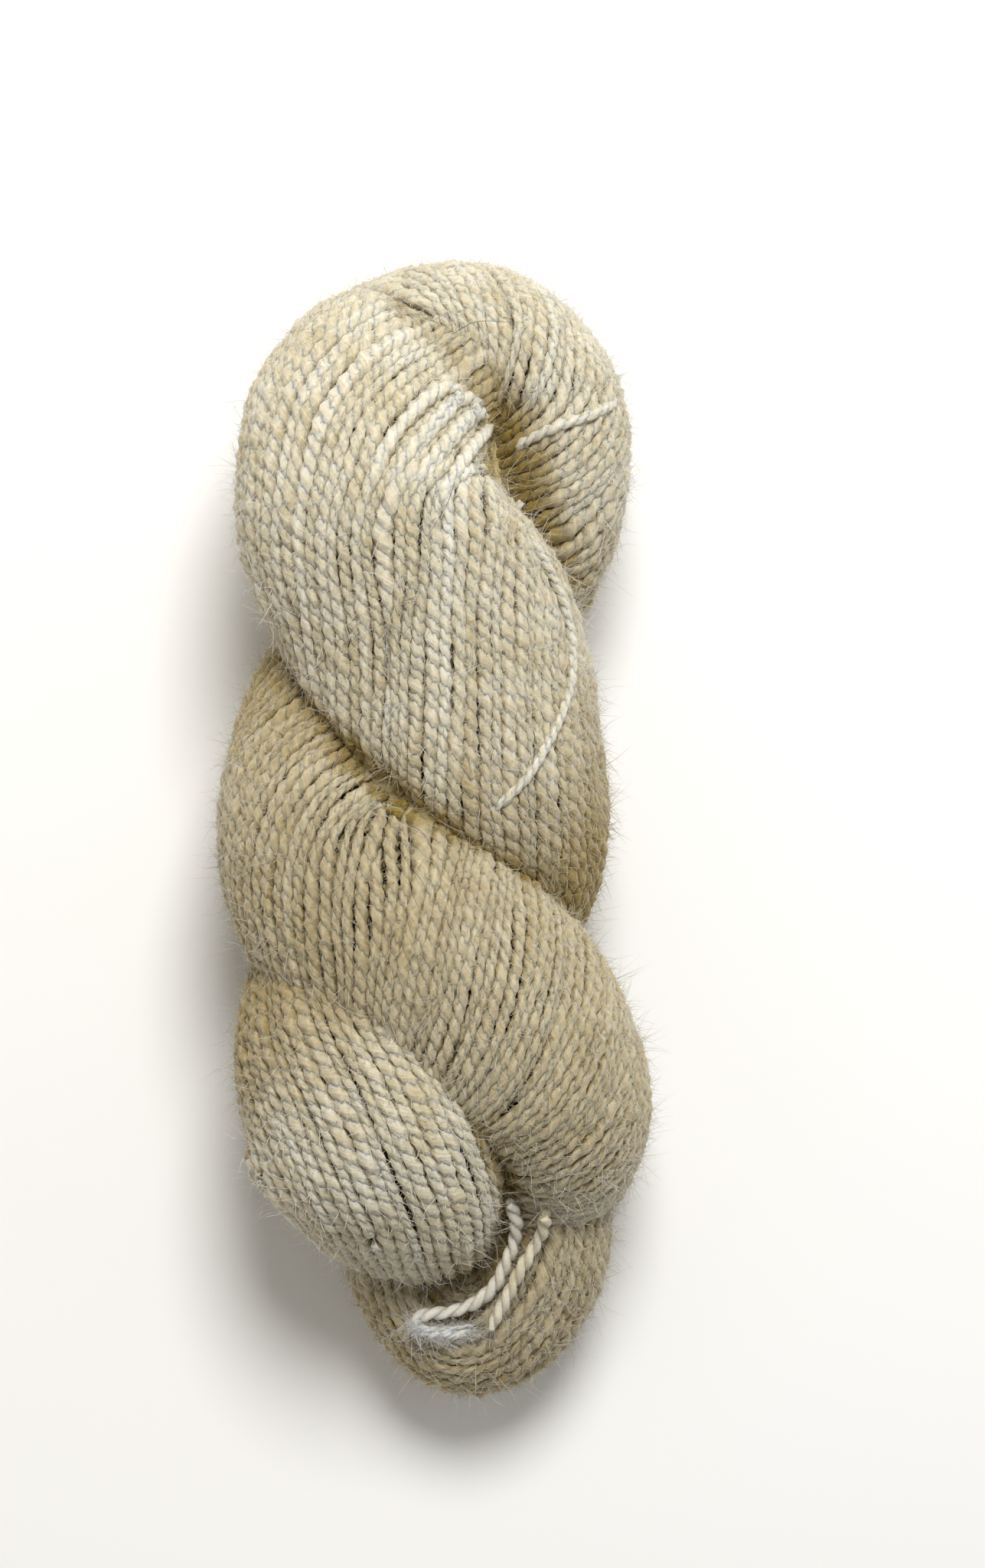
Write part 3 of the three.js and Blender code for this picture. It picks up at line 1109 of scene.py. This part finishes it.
wool = {
    "low": (0.44, 0.35, 0.155),
    "high": (0.95, 0.91, 0.81),
    # the dark yellow that the painted shade in creases and between yarns is multiplied towards
    "crease": (0.38, 0.285, 0.065),
    "start": -0.5,       # the way from low to high, and what each pattern adds to it
    "toneShare": 0.09,
    "mottleShare": 0.7,
    "fibreShare": 0.8,
    "fuzzShare": 0.5,
    "mottle": {"Scale": 90, "Detail": 4},
    "fuzz": {"Scale": 1100, "Detail": 3},
    "fibres": {"Scale": 1, "Detail": 3, "Roughness": 0.6},
    "alongPly": 0.35,    # how quickly the fibres change along a ply, and round it
    "roundPly": 2.6,
    "roughness": 0.92,
    "shine": 0.2,
    "sheen": 0.3,
    "sheenRoughness": 0.5,
    "glow": 0.65,        # light that goes in and comes out again
    "glowTint": (1, 0.8, 0.5),
    "glowReach": 1.8,
    "bump": 0.6,
    "bumpHeight": 0.5,
    "fuzzBump": 0.6,
}
hair = {
    "patches": {"Scale": 400},
    "dim": 0.75,         # its darker patches, as a share of its colour
    "roughness": 0.55,
    "sheen": 0.2,
    "glowTint": (1, 0.97, 0.9),
    "glowReach": 0.8,
}


def newMaterial(name):
    made = bpy.data.materials.new(name)
    made.use_nodes = True
    return made, made.node_tree, made.node_tree.nodes["Principled BSDF"]


def setInputs(made, values):
    for key, value in values.items():
        made.inputs[key].default_value = value


def node(tree, kind, x, y, **settings):
    made = tree.nodes.new(kind)
    made.location = (x, y)
    for key, value in settings.items():
        setattr(made, key, value)
    return made


def mathNode(tree, operation, x, y, first, second, third=None):
    # works out one value from others, each of them a number or another node's output
    made = node(tree, "ShaderNodeMath", x, y, operation=operation)
    for slot, value in enumerate((first, second, third)):
        if isinstance(value, (int, float)):
            made.inputs[slot].default_value = value
        elif value is not None:
            tree.links.new(value, made.inputs[slot])
    return made.outputs["Value"]


def noiseNode(tree, x, y, place, values):
    made = node(tree, "ShaderNodeTexNoise", x, y)
    setInputs(made, values)
    tree.links.new(place, made.inputs["Vector"])
    return made.outputs["Fac"]


def readField(tree, x, y, field):
    return node(tree, "ShaderNodeAttribute", x, y, attribute_name=field).outputs["Fac"]


def creased(tree, x, y, colour, tint):
    # painted shade: the colour is multiplied towards a dark yellow as far as the mesh's shade
    # field says, in creases and down the yarns' sides
    made = node(tree, "ShaderNodeMix", x, y, data_type="RGBA", blend_type="MULTIPLY")
    made.inputs["B"].default_value = (*tint, 1)
    tree.links.new(readField(tree, x - 200, y + 250, "crease"), made.inputs["Factor"])
    tree.links.new(colour, made.inputs["A"])
    return made.outputs["Result"]


def between(tree, x, y, share, low, high):
    # a colour between two, as far as the share says
    made = node(tree, "ShaderNodeMix", x, y, data_type="RGBA")
    setInputs(made, {"A": (*low, 1), "B": (*high, 1)})
    tree.links.new(share, made.inputs["Factor"])
    return made.outputs["Result"]


def fibreNoise(tree, look):
    # fibres that follow each ply, with no seam where the yarn's skin closes
    runs = node(tree, "ShaderNodeUVMap", -2000, -300, uv_map="alongYarn")
    parts = node(tree, "ShaderNodeSeparateXYZ", -1800, -300)
    tree.links.new(runs.outputs["UV"], parts.inputs["Vector"])
    turn = mathNode(tree, "MULTIPLY", -1650, -400, parts.outputs["Y"], 2 * np.pi)
    spot = node(tree, "ShaderNodeCombineXYZ", -1300, -300)
    length = mathNode(tree, "MULTIPLY", -1500, -200, parts.outputs["X"], look["alongPly"])
    tree.links.new(length, spot.inputs["X"])
    for y, operation, axis in ((-400, "COSINE", "Y"), (-600, "SINE", "Z")):
        wave = mathNode(tree, operation, -1575, y, turn, None)
        place = mathNode(tree, "MULTIPLY", -1500, y, wave, look["roundPly"])
        tree.links.new(place, spot.inputs[axis])
    return noiseNode(tree, -1100, -300, spot.outputs["Vector"], look["fibres"])


def addWool(name, look):
    made, tree, shader = newMaterial(name)
    setInputs(shader, {
        "Roughness": look["roughness"],
        "Specular IOR Level": look["shine"],
        "Sheen Weight": look["sheen"],
        "Sheen Roughness": look["sheenRoughness"],
        "Sheen Tint": (*look["high"], 1),
        "Subsurface Weight": look["glow"],
        "Subsurface Radius": look["glowTint"],
        "Subsurface Scale": look["glowReach"] * mm,
    })
    spot = node(tree, "ShaderNodeTexCoord", -1300, 100).outputs["Object"]
    mottle = noiseNode(tree, -1100, 100, spot, look["mottle"])
    fuzz = noiseNode(tree, -1100, -600, spot, look["fuzz"])
    fibres = fibreNoise(tree, look)
    tone = readField(tree, -1100, 350, "tone")
    share = look["start"]
    patterns = {"toneShare": tone, "mottleShare": mottle, "fibreShare": fibres, "fuzzShare": fuzz}
    for step, (key, pattern) in enumerate(patterns.items()):
        x, y = -850 + 150 * step, 300 - 100 * step
        share = mathNode(tree, "MULTIPLY_ADD", x, y, pattern, look[key], share)
    base = between(tree, -250, 200, share, look["low"], look["high"])
    base = creased(tree, -100, 300, base, look["crease"])
    tree.links.new(base, shader.inputs["Base Color"])
    height = mathNode(tree, "MULTIPLY_ADD", -500, -400, fuzz, look["fuzzBump"], fibres)
    bump = node(tree, "ShaderNodeBump", -300, -300)
    setInputs(bump, {"Strength": look["bump"], "Distance": look["bumpHeight"] * mm})
    tree.links.new(height, bump.inputs["Height"])
    tree.links.new(bump.outputs["Normal"], shader.inputs["Normal"])
    return made


def addHair(name, colour, glow):
    # smoother than wool, and given the same dark yellow painted shade as the crease that it grows
    # in
    made, tree, shader = newMaterial(name)
    spot = node(tree, "ShaderNodeTexCoord", -700, 0).outputs["Object"]
    vary = noiseNode(tree, -500, 0, spot, hair["patches"])
    base = between(tree, -250, 0, vary, [part * hair["dim"] for part in colour], colour)
    base = creased(tree, -50, 100, base, wool["crease"])
    tree.links.new(base, shader.inputs["Base Color"])
    setInputs(shader, {
        "Roughness": hair["roughness"],
        "Sheen Weight": hair["sheen"],
        "Subsurface Weight": glow,
        "Subsurface Radius": hair["glowTint"],
        "Subsurface Scale": hair["glowReach"] * mm,
    })
    return made


def dress(piece, material):
    piece.data.materials.clear()
    piece.data.materials.append(material)
    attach(piece, "root")


creamWool = addWool("creamWool", wool)
# a darker, yellower copy of the wool: painted shade for the wool deep in the hank and the yarns
# under the others
shadedDeepWool = addWool("shadedDeepWool", wool | {
    "low": (0.48, 0.385, 0.15), "high": (0.78, 0.66, 0.36), "glow": 0.3})
# the ties' whiter wool, with a paler painted shade
whiteWool = addWool("whiteWool", wool | {
    "low": (0.62, 0.56, 0.42), "high": (0.92, 0.89, 0.82), "crease": (0.5, 0.42, 0.26)})
softFibre = addHair("softFibre", (0.98, 0.95, 0.85), 0.4)
whiteFibre = addHair("whiteFibre", (0.97, 0.96, 0.93), 0.8)
darkHair = addHair("darkHair", (0.10, 0.07, 0.05), 0)
lightHair = addHair("lightHair", (0.75, 0.62, 0.44), 0.3)

# the wool inside wears the darker copy, painted shade
dress(woolInside, shadedDeepWool)
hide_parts("hank")
for name in bundles:
    dress(outerYarns[name], creamWool)
    dress(innerYarns[name], shadedDeepWool)
    dress(halos[name], softFibre)
dress(strayYarns, creamWool)
dress(guards["dark"], darkHair)
dress(guards["light"], lightHair)
dress(tieStrands, whiteWool)
dress(longFibres, whiteFibre)
dress(shortFibres, whiteFibre)
declared = {
    "tieYarn_long": ("tie_long", longEnd, [tieStrands, longFibres]),
    "tieYarn_short": ("tie_short", shortEnd, [shortFibres]),
}
for name, (cadNode, end, onIt) in declared.items():
    dress(ties[name], creamWool if end is shortEnd else whiteWool)
    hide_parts(cadNode)


# Floor and light

studio = {
    "floor": 3.0,
    "floorColour": (0.96, 0.96, 0.96),
    "floorRoughness": 0.8,
    "sky": 0.3,
    "skyColour": (1, 0.96, 0.9),
}
lights = {
    "window": {"place": (0.14, 0.7, 1.1), "size": 0.55, "power": 16, "colour": (1, 0.985, 0.96)},
    "side": {"place": (0.95, 0.1, 0.55), "size": 0.7, "power": 0.9, "colour": (0.7, 0.86, 1)},
    "room": {"place": (-0.9, 0, 0.7), "size": 0.9, "power": 0.7, "colour": (1, 0.9, 0.72)},
}


def addFloor():
    bpy.ops.mesh.primitive_plane_add(size=studio["floor"], location=(0, 0, 0))
    floor = bpy.context.object
    floor.name = "floor"
    paper, _, shader = newMaterial("paper")
    shader.inputs["Base Color"].default_value = (*studio["floorColour"], 1)
    shader.inputs["Roughness"].default_value = studio["floorRoughness"]
    floor.data.materials.append(paper)


def addLight(name, light):
    # a round window or wall that faces the hank
    bpy.ops.object.light_add(type="AREA", location=light["place"])
    lamp = bpy.context.object
    lamp.name = name
    lamp.data.shape = "DISK"
    lamp.data.size = light["size"]
    lamp.data.energy = light["power"]
    lamp.data.color = light["colour"]
    lamp.rotation_euler = Vector(light["place"]).to_track_quat("Z", "Y").to_euler()


def addSky():
    world = bpy.data.worlds.new("studio")
    world.use_nodes = True
    sky = {"Color": (*studio["skyColour"], 1), "Strength": studio["sky"]}
    setInputs(world.node_tree.nodes["Background"], sky)
    bpy.context.scene.world = world


addFloor()
for name, light in lights.items():
    addLight(name, light)
addSky()
bpy.context.scene.view_settings.view_transform = "Standard"
print("lights placed")
